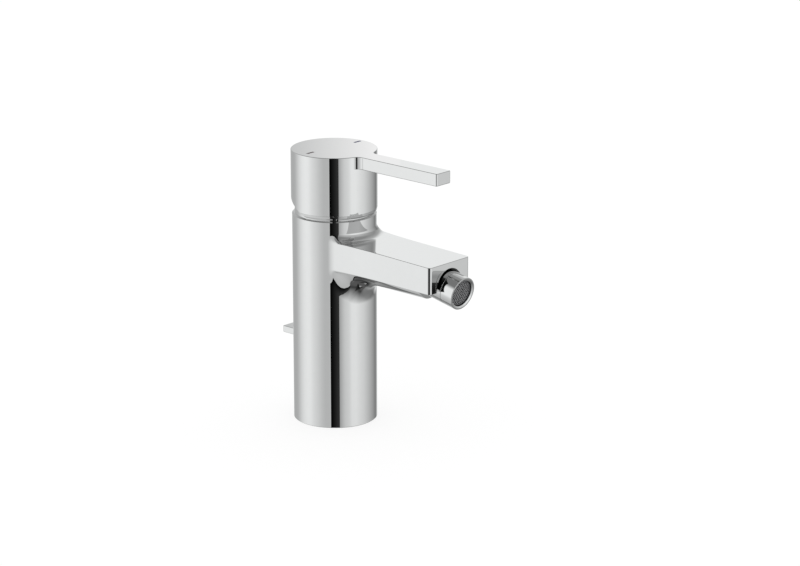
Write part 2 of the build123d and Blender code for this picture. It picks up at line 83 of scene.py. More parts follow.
# Dome
dome_wall = 1.4
dome_hole = 12.5
dome_lip_edge = 0.2
dome_foot_gap = 0.1
dome_overhang = 1.0

# Body
body_chamfer = 0.8
base_chamfer = 0.3
chamber_radius = 17.8
chamber_floor = 88.0
nut_bore_radius = 19.15
nut_bore_bottom = 111.65
foot_bore_radius = high("trim_dome")[0] - dome_overhang
foot_bore_bottom = low("trim_dome")[2] - dome_foot_gap
hollow_radius = 19.5
hollow_ceiling = 63.5
slot_half_width = 3.4
slot_front = 14.0
slot_gap = 0.4
gasket_top = high("base_gasket")[2]
gasket_outer = high("base_gasket")[0]
gasket_inner = gasket_outer - gasket_top

# Spout
spout_width = 32.0
spout_root_top = 105.5
spout_end_top = 103.85
spout_root_bottom = 89.9
spout_end_bottom = 89.1
spout_edge = 0.35
spout_side_corner = 0.8
spout_end_corner = 1.6
spout_facet = 0.75
belly_radius = 9.0
belly_height = 90.4
belly_flank_radius = 18.0
belly_end_gap = 0.1
root_start = 60.0
root_flare = 1.9
root_flare_end = 17.0
root_top_radius = 4.4
root_side_radius = 19.4
root_belly_radius = 12.0
root_margin = 2.5
top_flare_power = 12
recess_radius = 10.2
recess_back = 7.8
stem_bore_radius = 5.2
stem_bore_depth = 8.0

# Handle
skirt_height = 2.2
skirt_step = 0.15
skirt_band_foot = 0.85
skirt_band_inset = 0.3
skirt_inset = 0.8
skirt_lip = 0.55
handle_ceiling_drop = 2.6
boss_radius = 8.0
boss_drop = 20.0
socket_radius = 5.0
socket_drop = 3.3
top_edge = 0.4
lever_width = 11.25
lever_thickness = 6.8
lever_corner = 0.9
lever_under_edge = 0.45
lever_root_radius = 4.2
relief_angle = radians(25)
relief_start = 0.75
cap_hole_radius = 3.2

# Nozzle, along its own axis from the ball's centre
nozzle_radius = 9.05
nozzle_front = 13.4
nozzle_back = 6.5
ring_joint = 5.5
joint_groove = 0.15
sleeve_bore = 8.2
nozzle_edge = 0.3
ring_edge = 0.12
socket_edge = 0.5
socket_lip_edge = 0.2
socket_lip_front = -4.4
socket_lip_radius = 5.6
socket_bore_radius = 7.1
rim_bore = 7.3
rim_back = 9.95
rim_dish = 12.92
rim_edge_radius = 8.2

# Net of the aerator
net_radius = 6.2
net_height = 12.0
net_pitch = 1.2
net_wire = 0.12
net_wave = 0.06
net_turn = radians(40)
wire_steps = 16
wire_sides = 8

# Underside
lug_radius = 6.2
lug_bottom, lug_top = 10.0, 18.0
lug_edge = 0.5
guide_radius = 4.2
inlet_radius = 4.5
inlet_x, inlet_y = 7.0, 1.0
inlet_bottom, inlet_top = 62.5, 75.5
stud_radius = 3.4
stud_y, stud_top = -12.5, 73.5
rod_hole_radius = 2.8
rod_hole_top = 84.0

# Knob
rod_y = (low("lift_rod")[1] + high("lift_rod")[1]) / 2
neck_half_width = 3.0
collar_radius = 4.2
knob_bore = 2.5
knob_gap = 0.4
knob_edge = 0.35
knob_corner = 0.6

# Steps along curved surfaces
wall_steps = 160
hole_steps = 64
cap_hole_steps = 48
top_steps = 30
side_steps = 10
rim_steps = 6
short_steps = 5
knob_steps = 4
corner_step = radians(9)
edge_step = radians(5)
fine_step = radians(3)


def spaced(start, end, steps):
    """Even values from a start to an end."""
    return [start + (end - start) * i / steps for i in range(steps + 1)]


def placed(name, data):
    """A new object in the scene."""
    piece = bpy.data.objects.new(name, data)
    bpy.context.scene.collection.objects.link(piece)
    return piece


def worked_out(piece):
    """A piece's mesh as its modifiers leave it, with the modifiers removed."""
    graph = bpy.context.evaluated_depsgraph_get()
    mesh = bpy.data.meshes.new_from_object(piece.evaluated_get(graph))
    piece.modifiers.clear()
    return mesh


class Skin:
    """A surface under construction. Each corner of a face carries the surface's true normal."""

    def __init__(self):
        self.places = {}
        self.points = []
        self.faces = []

    def vertex(self, point):
        """The number of a point, the same for points that coincide."""
        key = tuple(round(c, 4) for c in point)
        if key not in self.places:
            self.places[key] = len(self.points)
            self.points.append(tuple(point))
        return self.places[key]

    def face(self, points, normals):
        """Adds a face, turned so that it agrees with its normals."""
        corners = []
        for point, normal in zip(points, normals):
            number = self.vertex(point)
            if number not in [c[0] for c in corners]:
                corners.append((number, normal))
        if len(corners) < 3:
            return
        around = [Vector(self.points[number]) for number, _ in corners]
        facing = Vector((0, 0, 0))
        for a, b in zip(around, around[1:] + around[:1]):
            facing += a.cross(b)
        if facing.dot(sum((Vector(n) for _, n in corners), Vector((0, 0, 0)))) < 0:
            corners.reverse()
        self.faces.append(corners)

    def flat(self, points, normal):
        """Adds one flat face with many corners."""
        self.face(points, [normal] * len(points))

    def grid(self, rows):
        """Adds the faces between rows of (point, normal) pairs of one length."""
        for a, b in zip(rows, rows[1:]):
            for i in range(len(a) - 1):
                corners = (a[i], a[i + 1], b[i + 1], b[i])
                self.face([c[0] for c in corners], [c[1] for c in corners])

    def build(self, name, placing=Matrix.Identity(4)):
        """Makes a Blender object with the true normals kept on its corners."""
        mesh = bpy.data.meshes.new(name)
        points = [placing @ Vector(p) * mm for p in self.points]
        mesh.from_pydata(points, [], [[number for number, _ in face] for face in self.faces])
        turn = placing.to_3x3()
        normals = [turn @ Vector(n).normalized() for face in self.faces for _, n in face]
        layer = mesh.attributes.new("true_normal", "FLOAT_VECTOR", "CORNER")
        layer.data.foreach_set("vector", np.array(normals, np.float32).ravel())
        return placed(name, mesh)


def settle(piece):
    """Turns the kept corner normals into the mesh's own, facing outwards."""
    mesh = piece.data
    layer = mesh.attributes["true_normal"]
    kept = np.empty(len(mesh.loops) * 3, np.float32)
    layer.data.foreach_get("vector", kept)
    kept = kept.reshape(-1, 3)
    for polygon in mesh.polygons:
        polygon.use_smooth = True
        facing = np.array(polygon.normal)
        for corner in polygon.loop_indices:
            if kept[corner] @ facing < 0:
                kept[corner] *= -1
    kept /= np.linalg.norm(kept, axis=1, keepdims=True)
    mesh.attributes.remove(layer)
    mesh.normals_split_custom_set([tuple(n) for n in kept])
    return piece


def carve(piece, cutters, operation="DIFFERENCE"):
    """Cuts shapes out of a piece, or joins them to it, and removes the cutters."""
    for cutter in cutters:
        cut = piece.modifiers.new("cut", "BOOLEAN")
        cut.operation = operation
        cut.solver = "EXACT"
        cut.object = cutter
    piece.data = worked_out(piece)
    for cutter in cutters:
        bpy.data.objects.remove(cutter)
    return piece


def left_of(way):
    """The direction to the left of a way in a plane."""
    return (-way[1], way[0])


def towards(start, end):
    """The direction from one place to another in a plane."""
    return Vector((end[0] - start[0], end[1] - start[1])).normalized()


def run(start, end, steps=1):
    """Samples (point, normal) along a straight stretch, with the material on its right."""
    length = hypot(end[0] - start[0], end[1] - start[1])
    normal = left_of(((end[0] - start[0]) / length, (end[1] - start[1]) / length))
    return [((start[0] + (end[0] - start[0]) * t, start[1] + (end[1] - start[1]) * t), normal)
            for t in spaced(0, 1, steps)]


def bend(centre, radius, start, end, outward=1, step=corner_step):
    """Samples (point, normal) along an arc."""
    return [((centre[0] + radius * cos(a), centre[1] + radius * sin(a)), (outward * cos(a), outward * sin(a)))
            for a in spaced(start, end, max(2, ceil(abs(end - start) / step)))]


def mirrored(part):
    """Samples mirrored from one side to the other, in the other order."""
    return [((-x, y), (-nx, ny)) for (x, y), (nx, ny) in reversed(part)]


def soft_outline(corners, closed=False):
    """Samples along straight stretches with rounded corners (x, y, radius), the material on the right."""
    count = len(corners)
    samples = []
    for i, (x, y, radius) in enumerate(corners):
        if not closed and i in (0, count - 1):
            samples.append(None)
            continue
        way_in = towards(corners[i - 1], (x, y))
        way_out = towards((x, y), corners[(i + 1) % count])
        normal_in = left_of(way_in)
        normal_out = left_of(way_out)
        if radius == 0:
            samples.append([((x, y), normal_in), ((x, y), normal_out)])
            continue
        turn = way_in.angle_signed(way_out)
        side = 1 if turn > 0 else -1
        reach = radius * tan(abs(turn) / 2)
        centre = (x - way_in[0] * reach - side * normal_in[0] * radius,
                  y - way_in[1] * reach - side * normal_in[1] * radius)
        start = atan2(side * normal_in[1], side * normal_in[0])
        samples.append(bend(centre, radius, start, start - turn, side))
    if not closed:
        samples[0] = [(corners[0][:2], left_of(towards(corners[0], corners[1])))]
        samples[-1] = [(corners[-1][:2], left_of(towards(corners[-2], corners[-1])))]
    chain = [sample for part in samples for sample in part]
    return chain + chain[:1] if closed else chain


def around(radius, angle, height, normal=(1, 0)):
    """A point at an angle about Z, and its normal from a radial and an upward share."""
    point = (radius * cos(angle), radius * sin(angle), height)
    return point, (normal[0] * cos(angle), normal[0] * sin(angle), normal[1])


def lathe(skin, samples, angles):
    """Turns an outline of (radius, height) samples about Z."""
    for pair in zip(samples, samples[1:]):
        if pair[0][0] != pair[1][0]:
            skin.grid([[around(point[0], a, point[1], normal) for a in angles] for point, normal in pair])


def turned(name, corners, closed=True, placing=Matrix.Identity(4), steps=wall_steps):
    """A turned piece from the rounded corners of its outline."""
    skin = Skin()
    lathe(skin, soft_outline(corners, closed), spaced(0, full_turn, steps))
    return skin.build(name, placing)


def block(name, lowest, highest):
    """A plain box, for cutting."""
    skin = Skin()
    for axis in range(3):
        across, along = [i for i in range(3) if i != axis]
        for side, level in ((-1, lowest[axis]), (1, highest[axis])):
            corners = []
            for u, v in ((lowest, lowest), (highest, lowest), (highest, highest), (lowest, highest)):
                corner = [0, 0, 0]
                corner[axis] = level
                corner[across] = u[across]
                corner[along] = v[along]
                corners.append(corner)
            normal = [0, 0, 0]
            normal[axis] = side
            skin.flat(corners, normal)
    return skin.build(name)


def rod_like(name, x, y, radius, bottom, top):
    """An upright round shape with flat ends, turned a little so that no seams meet."""
    corners = [(0, bottom, 0), (0, top, 0), (radius, top, 0), (radius, bottom, 0)]
    placing = Matrix.Translation((x, y, 0)) @ Matrix.Rotation(corner_step / 4, 4, "Z")
    return turned(name, corners, True, placing, hole_steps)


def rounding(sample, radius, level, upwards, steps):
    """The rounding at one place of an outline, from its wall to its flat face."""
    (x, y), (nx, ny) = sample
    turns = spaced(0, right_angle, steps)
    inset = [radius * (1 - cos(a)) for a in turns]
    return [((x - nx * d, y - ny * d, level - upwards * radius * (1 - sin(a))),
             (nx * cos(a), ny * cos(a), upwards * sin(a))) for d, a in zip(inset, turns)]


def smooth_step(low_end, high_end, value):
    """A smooth share from 0 to 1 between two values."""
    t = min(max((value - low_end) / (high_end - low_end), 0), 1)
    return t * t * (3 - 2 * t)


# The nozzle's frame: its local Z runs out of the spout
nozzle_turn = Vector((0, 0, 1)).rotation_difference(nozzle_way)
nozzle_frame = Matrix.Translation(ball_centre) @ nozzle_turn.to_matrix().to_4x4()
nozzle_tilt = asin(-nozzle_way.z)

# Spout values that follow from the sizes
half_width = spout_width / 2
spout_run = spout_reach - body_radius
lean_levels = (belly_height - belly_radius, spout_root_bottom, spout_root_top)
lean_rates = (
    0.0, (spout_root_bottom - spout_end_bottom) / spout_run, (spout_root_top - spout_end_top) / spout_run)


def lean(point, normal):
    """Slopes the spout's top and bottom towards each other along its length."""
    x, y, z = point
    i = 0 if z < lean_levels[1] else 1
    depth = lean_levels[i + 1] - lean_levels[i]
    gain = lean_rates[i + 1] - lean_rates[i]
    share = max((z - lean_levels[i]) / depth, 0)
    rate = lean_rates[i] + gain * share
    along = -body_radius - y
    growth = 1 - (gain / depth if share else 0) * along
    nx, ny, nz = normal
    leaned = Vector((nx, ny - rate / growth * nz, nz / growth)).normalized()
    return (x, y, z - rate * along), tuple(leaned)


def circles_meet(first, first_radius, second, second_radius):
    """The lower of the two points at given distances from two centres."""
    gap = Vector(second) - Vector(first)
    along = (first_radius ** 2 - second_radius ** 2 + gap.length_squared) / (2 * gap.length)
    aside = sqrt(first_radius ** 2 - along ** 2)
    way = gap.normalized()
    middle = Vector(first) + way * along
    return min((middle + Vector((-way.y, way.x)) * side for side in (aside, -aside)), key=lambda c: c.y)


flank_hub = circles_meet(
    (half_width - spout_edge, spout_root_bottom + spout_edge), spout_edge + belly_flank_radius,
    (0, belly_height), belly_radius + belly_flank_radius)
belly_turn = flank_hub.x / (belly_radius + belly_flank_radius) - hair
edge_turn = (flank_hub.x - half_width + spout_edge) / (spout_edge + belly_flank_radius) + hair


def spout_section():
    """The stretches of the spout's section at the root, as lists of samples in x and z."""
    inner = half_width - spout_edge
    high_side = spout_root_top - spout_edge
    low_side = spout_root_bottom + spout_edge
    to_edge = atan2(low_side - flank_hub.y, inner - flank_hub.x)
    to_belly = atan2(belly_height - flank_hub.y, -flank_hub.x)
    right = {
        "edge_top": bend((inner, high_side), spout_edge, right_angle, 0, 1, edge_step),
        "side": run((half_width, high_side), (half_width, low_side), side_steps),
        "edge_bottom": bend((inner, low_side), spout_edge, 0, to_edge - half_turn),
        "flank": bend(tuple(flank_hub), belly_flank_radius, to_edge, to_belly, -1, fine_step),
    }
    left = {name: mirrored(part) for name, part in right.items()}
    top = run((-inner, spout_root_top), (inner, spout_root_top), top_steps)
    belly = bend((0, belly_height), belly_radius, to_belly - half_turn, -to_belly, 1, fine_step)
    return top, right, belly, left


def root_sizes(name, sample):
    """The root's reach across and upwards, its share in the sides' flare, and the flare's direction."""
    (x, _), (nx, nz) = sample
    turn = abs(nx)
    if name in ("top", "edge_top", "side"):
        widening = min(abs(x) / (half_width - spout_edge), 1) ** top_flare_power
        return root_side_radius * nx, root_top_radius * nz, turn ** 2, (copysign(widening, x), 0)
    share = 0
    radius = belly_flank_radius
    if name == "edge_bottom":
        share = smooth_step(edge_turn, 1, turn)
        radius = belly_flank_radius + (root_side_radius - belly_flank_radius) * share
    elif name == "belly":
        radius = root_belly_radius + (belly_flank_radius - root_belly_radius) * min(turn / belly_turn, 1) ** 2
    return radius * nx, radius * nz, share, (nx * share, nz * share)


def root_line(name, sample, flare_steps=8, blend_steps=14):
    """Points from the spout's straight part to the body's wall, before they lean."""
    (x, z), (nx, nz) = sample
    across, upward, flare, (wx, wz) = root_sizes(name, sample)
    radius = hypot(across, upward)
    centre = Vector((round(x + across, 3), 0, round(z + upward, 3)))
    centre.y = -sqrt((body_radius + radius) ** 2 - centre.x ** 2)
    contact = Vector((centre.x, centre.y, 0)) * (body_radius / (body_radius + radius))
    contact.z = centre.z
    start_y = centre.y + (-root_flare_end - centre.y) * flare

    def flared(y):
        """The flare's growth and slope at a distance along the spout."""
        t = (y + root_start) / (root_start - root_flare_end)
        return root_flare * t ** 3, root_flare * 3 * t ** 2 / (root_start - root_flare_end)

    points = []
    for y in spaced(-root_start, start_y, flare_steps):
        growth, slope = flared(y)
        points.append(Vector((x + wx * growth, y, z + wz * growth)))
    start = points.pop()
    start_way = Vector((wx * slope, 1, wz * slope)).normalized()
    radial = Vector((contact.x, contact.y, 0)).normalized()
    outward = Vector((across, 0, upward)).normalized()
    end_way = (outward - radial * outward.dot(radial)).normalized()
    turn = start_way.angle(end_way)
    handle = (contact - start).length / (2 * sin(turn / 2)) * 4 / 3 * tan(turn / 4)
    for t in spaced(0, 1, blend_steps):
        points.append(start * (1 - t) ** 3 + (start + start_way * handle) * 3 * t * (1 - t) ** 2
                      + (contact - end_way * handle) * 3 * t * t * (1 - t) + contact * t ** 3)
    return points


def root_blend(samples):
    """The lines of the root's blend all the way round, with their normals."""
    lines = [root_line(name, sample) for name, sample in samples]
    count = len(lines)
    arcs = []
    for i, (name, (_, (nx, nz))) in enumerate(samples):
        before = lines[i - 1 if i else count - 2]
        after = lines[i + 1 if i < count - 1 else 1]
        arc = []
        for k, point in enumerate(lines[i]):
            if k == 0:
                normal = Vector((nx, 0, nz))
            elif k == len(lines[i]) - 1:
                normal = Vector((point.x, point.y, 0)).normalized()
            else:
                across = after[k] - before[k]
                along = lines[i][k + 1] - lines[i][k - 1]
                normal = across.cross(along).normalized()
                if normal.dot(Vector((nx, 0, nz)) + Vector((point.x, point.y, 0)) / body_radius) < 0:
                    normal = -normal
            arc.append(lean(tuple(point), tuple(normal)))
        arcs.append(arc)
    return arcs


def on_wall(along, z):
    """A point of the body's wall, at a distance along it from the front."""
    return around(body_radius, along / body_radius - right_angle, z)


def wall_with_root(skin, edge, wall_bottom, wall_top):
    """The body's wall around the spout's root. Returns the angles of its lower and upper ends."""
    flat_edge = [(body_radius * atan2(p[0], -p[1]), p[2]) for p, _ in edge]
    half_span = max(s for s, _ in flat_edge) + root_margin
    lowest = min(z for _, z in flat_edge) - root_margin
    highest = max(z for _, z in flat_edge) + root_margin

    def corner(side, rise):
        """The place of the contact line's corner on one side, upper or lower."""
        return max(range(len(flat_edge)), key=lambda i: side * flat_edge[i][0] + rise * flat_edge[i][1])

    top_right, bottom_right = corner(1, 1), corner(1, -1)
    top_left, bottom_left = corner(-1, 1), corner(-1, -1)
    spread = half_span / flat_edge[bottom_right][0]
    upper_spread = half_span / flat_edge[top_right][0]
    stretch = (highest - lowest) / (flat_edge[top_right][1] - flat_edge[bottom_right][1])
    outer = []
    for i, (s, z) in enumerate(flat_edge):
        if top_right <= i <= bottom_right or bottom_left <= i <= top_left:
            side = 1 if i <= bottom_right else -1
            outer.append((side * half_span, lowest + (z - flat_edge[bottom_right][1]) * stretch))
        elif bottom_right < i < bottom_left:
            outer.append((s * spread, lowest))
        else:
            outer.append((s * upper_spread, highest))
    rows = [edge]
    for t in spaced(0, 1, short_steps)[1:]:
        rows.append([on_wall(a[0] + (b[0] - a[0]) * t, a[1] + (b[1] - a[1]) * t)
                     for a, b in zip(flat_edge, outer)])
    skin.grid(rows)
    upper = sorted({s for s, z in outer if z > highest - hair})
    lower = sorted({s for s, z in outer if z < lowest + hair})
    levels = sorted({z for s, z in outer if s > half_span - hair})
    skin.grid([[on_wall(s, z) for s in upper] for z in (highest, wall_top)])
    skin.grid([[on_wall(s, z) for s in lower] for z in (wall_bottom, lowest)])
    columns = spaced(half_span, half_turn * body_radius, wall_steps)
    for side in (1, -1):
        skin.grid([[on_wall(side * s, z) for s in columns] for z in [wall_bottom] + levels + [wall_top]])
    rest = [-s for s in reversed(columns)]
    return [[s / body_radius - right_angle for s in rest + row + columns] for row in (lower, upper)]


def spout(skin, section, arcs):
    """The spout from its root's blend to its end, with the belly under it."""
    _, right, belly, left = section
    slant = sqrt(0.5)
    side_x = half_width - spout_side_corner
    end_y = spout_end_corner - spout_reach
    narrowing = slant * (spout_end_corner - spout_side_corner)
    side_y = end_y - narrowing + slant * spout_facet
    end_x = side_x - narrowing - slant * spout_facet
    stations = []
    for x, y, radius, start in ((side_x, side_y, spout_side_corner, 0), (end_x, end_y, spout_end_corner, 1)):
        turns = [-right_angle * t / 2 for t in spaced(start, start + 1, short_steps)]
        stations += [((x, y), (cos(a), sin(a)), radius) for a in turns]
    stations += [((-x, y), (-mx, my), radius) for (x, y), (mx, my), radius in reversed(stations)]

    def swept(sideways, z, normal_up):
        """Points round the spout's end, for one level of its edge."""
        points = []
        for (x, y), (mx, my), radius in stations:
            reach = radius - spout_edge + spout_edge * sideways
            normal = (sideways * mx, sideways * my, normal_up)
            points.append(lean((x + reach * mx, y + reach * my, z), normal))
        return points

    def edge_rows(name):
        """Rows along one of the spout's long edges, from root to root round its end."""
        rows = []
        for i, ((_, z), (nx, nz)) in enumerate(right[name]):
            rows.append([arcs["right", name][i][0]] + swept(nx, z, nz) + [arcs["left", name][-1 - i][0]])
        return rows

    upper = edge_rows("edge_top")
    lower = edge_rows("edge_bottom")
    skin.grid(upper)
    skin.grid([row[1:-1] for row in lower])
    skin.grid([upper[-1][1:-1], lower[0][1:-1]])
    crown = [arc[0] for arc in arcs["top", "top"]]
    skin.flat([c[0] for c in crown] + [c[0] for c in upper[0][1:-1]], crown[0][1])

    def belly_end(x, z):
        """The point where the underside meets the nozzle's seat."""
        rise = (z - ball_centre.z) * sin(nozzle_tilt)
        y = ball_centre.y + (recess_back + belly_end_gap - rise) / cos(nozzle_tilt)
        return (x, y, z)

    def ended(corner, normal):
        """A point of the section carried to the nozzle's seat, with the spout's lean."""
        x, z = corner
        place, _ = lean(belly_end(x, z), (0, 0, 1))
        return belly_end(place[0], place[2]), lean((x, place[1], z), (normal[0], 0, normal[1]))[1]

    corner = right["edge_bottom"]
    for side, name in ((1, "right"), (-1, "left")):
        start = [arc[0] for arc in arcs[name, "edge_bottom"]]
        order = corner if side == 1 else corner[::-1]
        seat = [ended((side * x, z), (side * nx, nz)) for (x, z), (nx, nz) in order]
        tip = [row[1 if side == 1 else -2] for row in lower]
        tip = tip if side == 1 else tip[::-1]
        skin.grid([start, seat, tip])
        feet = [arc[0][0] for arc in arcs[name, "side"]]
        far = [seat[0], tip[0], upper[-1][1]] if side == 1 else [upper[-1][-2], tip[-1], seat[-1]]
        skin.flat(feet + [c[0] for c in far], (side, 0, 0))
    keel = right["flank"] + belly[1:] + left["flank"][1:]
    feet = [arc[0] for arc in arcs["right", "flank"] + arcs["belly", "belly"][1:] + arcs["left", "flank"][1:]]
    ends = [ended(point, normal) for point, normal in keel]
    skin.grid([feet, ends])
    tips = [c[0] for c in lower[-1][1:-1]]
    skin.flat([e[0] for e in ends], tuple(nozzle_way))
    skin.flat([ends[0][0]] + tips + [ends[-1][0]], (0, 0, -1))


def make_body():
    """The body's outer skin with its spout, chamber and lower hollow."""
    skin = Skin()
    section = spout_section()
    top, right, belly, left = section
    parts = ("edge_top", "side", "edge_bottom", "flank")
    order = [("top", "top", top)] + [("right", name, right[name]) for name in parts]
    order += [("belly", "belly", belly)] + [("left", name, left[name]) for name in reversed(parts)]
    blend = root_blend([(name, sample) for _, name, part in order for sample in part[:-1]]
                       + [("top", top[0])])
    arcs = {}
    done = 0
    for side, name, part in order:
        arcs[side, name] = blend[done:done + len(part)]
        done += len(part) - 1
    skin.grid(blend)
    edge = [arc[-1] for arc in blend]
    wall_top = body_top - body_chamfer
    low_turns, high_turns = wall_with_root(skin, edge, base_chamfer, wall_top)
    spout(skin, section, arcs)
    lathe(skin, soft_outline([
        (0, chamber_floor, 0), (chamber_radius, chamber_floor, 0), (chamber_radius, nut_bore_bottom, 0),
        (nut_bore_radius, nut_bore_bottom, 0), (nut_bore_radius, foot_bore_bottom, 0),
        (foot_bore_radius, foot_bore_bottom, 0), (foot_bore_radius, body_top, 0),
        (body_radius - body_chamfer, body_top, 0), (body_radius, wall_top, 0)]), high_turns)
    lathe(skin, soft_outline([
        (body_radius, base_chamfer, 0), (body_radius - base_chamfer, 0, 0), (gasket_outer, 0, 0),
        (gasket_outer, gasket_top, 0), (gasket_inner, gasket_top, 0), (gasket_inner, 0, 0),
        (hollow_radius, 0, 0), (hollow_radius, hollow_ceiling, 0), (0, hollow_ceiling, 0)]), low_turns)
    piece = skin.build("body_skin")
    recess = turned("recess", [
        (0, -recess_back - stem_bore_depth, 0), (0, spout_width, 0), (recess_radius, spout_width, 0),
        (recess_radius, -recess_back, 0), (stem_bore_radius, -recess_back, 0),
        (stem_bore_radius, -recess_back - stem_bore_depth, 0)], True, nozzle_frame)
    knob_low = low("rod_knob")
    slot = block("slot", (-slot_half_width, slot_front, knob_low[2] - slot_gap),
                 (slot_half_width, body_radius + spout_edge, hollow_ceiling - slot_gap))
    carve(piece, [rod_like("lug", 0, rod_y, lug_radius, lug_bottom, lug_top)], "UNION")
    holes = [rod_like(name, x, y, radius, bottom, top) for name, x, y, radius, bottom, top in (
        ("inlet", -inlet_x, inlet_y, inlet_radius, inlet_bottom, inlet_top),
        ("inlet", inlet_x, inlet_y, inlet_radius, inlet_bottom, inlet_top),
        ("stud_hole", 0, stud_y, stud_radius, inlet_bottom, stud_top),
        ("rod_hole", 0, rod_y, rod_hole_radius, inlet_bottom, rod_hole_top),
        ("guide_hole", 0, rod_y, guide_radius, lug_bottom - lug_edge, lug_top + lug_edge))]
    return settle(carve(piece, [recess, slot] + holes))


def handle_outline():
    """The handle's outline seen from above: wall, right root, lever, left root, wall."""
    half = lever_width / 2
    root_x = half + lever_root_radius
    root_y = -sqrt((handle_radius + lever_root_radius) ** 2 - root_x ** 2)
    meet = atan2(root_y, root_x)
    corner_x = half - lever_corner
    corner_y = -(lever_reach - lever_corner)
    step = full_turn / wall_steps
    wall = bend((0, 0), handle_radius, right_angle, meet, 1, step)
    root = bend((root_x, root_y), lever_root_radius, meet + half_turn, half_turn, -1)
    side = run((half, root_y), (half, corner_y))
    corner = bend((corner_x, corner_y), lever_corner, 0, -right_angle)
    end = run((corner_x, -lever_reach), (-corner_x, -lever_reach))
    lever = side + corner[1:] + end[1:] + mirrored(corner)[1:] + mirrored(side)[1:]
    return wall, root, lever, mirrored(root), mirrored(wall)


def make_handle():
    """The cap and its lever, with the rounded rim, the hollow and the rear relief."""
    skin = Skin()
    wall, root, lever, left_root, left_wall = handle_outline()
    lever_bottom = handle_top - lever_thickness
    whole = wall + root[1:] + lever[1:] + left_root[1:] + left_wall[1:]
    rims = [rounding(sample, top_edge, handle_top, 1, rim_steps) for sample in whole]
    skin.grid(rims)
    skin.flat([r[-1][0] for r in rims[:-1]], (0, 0, 1))

    def upright(part, bottoms):
        """The wall under the rim, down to a level for each sample."""
        tops = [((x, y, handle_top - top_edge), (nx, ny, 0)) for (x, y), (nx, ny) in part]
        feet = [((x, y, z), (nx, ny, 0)) for ((x, y), (nx, ny)), z in zip(part, bottoms)]
        skin.grid([tops, feet])

    for part in (wall, left_wall):
        upright(part, [lever_bottom] * len(part))
    bar = root + lever[1:] + left_root[1:]
    growth = [smooth_step(0, len(root) - 1, i) for i in range(len(root))]
    shares = growth + [1] * (len(lever) - 2) + growth[::-1]
    edges = [lever_under_edge * share for share in shares]
    upright(bar, [lever_bottom + edge for edge in edges])
    under = [rounding(sample, edge, lever_bottom, -1, rim_steps) for sample, edge in zip(bar, edges)]
    skin.grid(under)
    meet = asin(root[0][0][0] / handle_radius)
    steps = 12
    front = [-right_angle + meet - 2 * meet * i / steps for i in range(steps + 1)]
    arc = [around(handle_radius, a, lever_bottom)[0] for a in front]
    skin.flat([u[-1][0] for u in under] + list(reversed(arc))[1:-1], (0, 0, -1))
    right_turns = [atan2(y, x) for (x, y), _ in wall]
    left_turns = [atan2(y, x) - (full_turn if atan2(y, x) > 0 else 0) for (x, y), _ in left_wall]
    turns = right_turns + front[1:-1] + left_turns
    skirt_low = handle_bottom + skirt_height
    foot = handle_radius - skirt_inset
    ceiling = handle_top - handle_ceiling_drop
    lathe(skin, soft_outline([
        (handle_radius, lever_bottom, 0), (handle_radius, skirt_low, 0),
        (handle_radius - skirt_step, skirt_low - skirt_step, 0),
        (handle_radius - skirt_band_inset, handle_bottom + skirt_band_foot, 0), (foot, handle_bottom, 0),
        (foot - skirt_lip, handle_bottom, 0), (foot - skirt_lip, ceiling, 0), (boss_radius, ceiling, 0),
        (boss_radius, handle_top - boss_drop, 0), (socket_radius, handle_top - boss_drop, 0),
        (socket_radius, handle_top - socket_drop, 0), (0, handle_top - socket_drop, 0)]), turns)
    piece = skin.build("handle_skin")
    wedge = Skin()
    reach = handle_radius + skirt_height
    rise = (reach + relief_start) * tan(relief_angle)
    base = handle_bottom - hair
    outline = ((-relief_start, base), (reach, base), (reach, handle_bottom + rise))
    for side in (-1, 1):
        wedge.flat([(side * reach, y, z) for y, z in outline], (side, 0, 0))
    slope = (0, -sin(relief_angle), cos(relief_angle))
    for a, b, normal in zip(outline, outline[1:] + outline[:1], ((0, 0, -1), (0, 1, 0), slope)):
        wedge.flat([(-reach, *a), (reach, *a), (reach, *b), (-reach, *b)], normal)
    cutters = [wedge.build("relief")]
    screw_height = (high("screw_cap")[2] + low("screw_cap")[2]) / 2
    rearward = Matrix.Translation((0, 0, screw_height)) @ Matrix.Rotation(-right_angle, 4, "X")
    cutters.append(turned("cap_hole", [
        (0, foot - 2 * skirt_lip, 0), (0, reach, 0), (cap_hole_radius, reach, 0),
        (cap_hole_radius, foot - 2 * skirt_lip, 0)], True, rearward, cap_hole_steps))
    for mark in ("hot_mark", "cold_mark"):
        x0, y0, z0 = low(mark)
        x1, y1, z1 = high(mark)
        cutters.append(block(mark + "_seat", (x0, y0, z0), (x1, y1, z1 + skirt_lip)))
    return settle(carve(piece, cutters))


def make_dome():
    """The dome under the handle, a zone of a sphere about the lever's pivot."""
    foot_x = foot_bore_radius - dome_foot_gap
    base, _, top = high("trim_dome")
    bottom = low("trim_dome")[2]
    sphere = hypot(base, body_top - pivot_height)
    lip = asin((top - pivot_height) / sphere)
    foot = asin((body_top - pivot_height) / sphere)
    skin = Skin()
    samples = soft_outline([
        (dome_hole, top - dome_wall, 0), (dome_hole, top, dome_lip_edge), (sphere * cos(lip), top, 0)])
    samples += bend((0, pivot_height), sphere, lip, foot, 1, fine_step)
    samples += soft_outline([
        (base, body_top, 0), (foot_x, body_top, 0), (foot_x, bottom, 0), (foot_x - dome_wall, bottom, 0),
        (foot_x - dome_wall, body_top, 0), (dome_hole, top - dome_wall, 0)])
    lathe(skin, samples, spaced(0, full_turn, wall_steps))
    return settle(skin.build("dome_skin"))


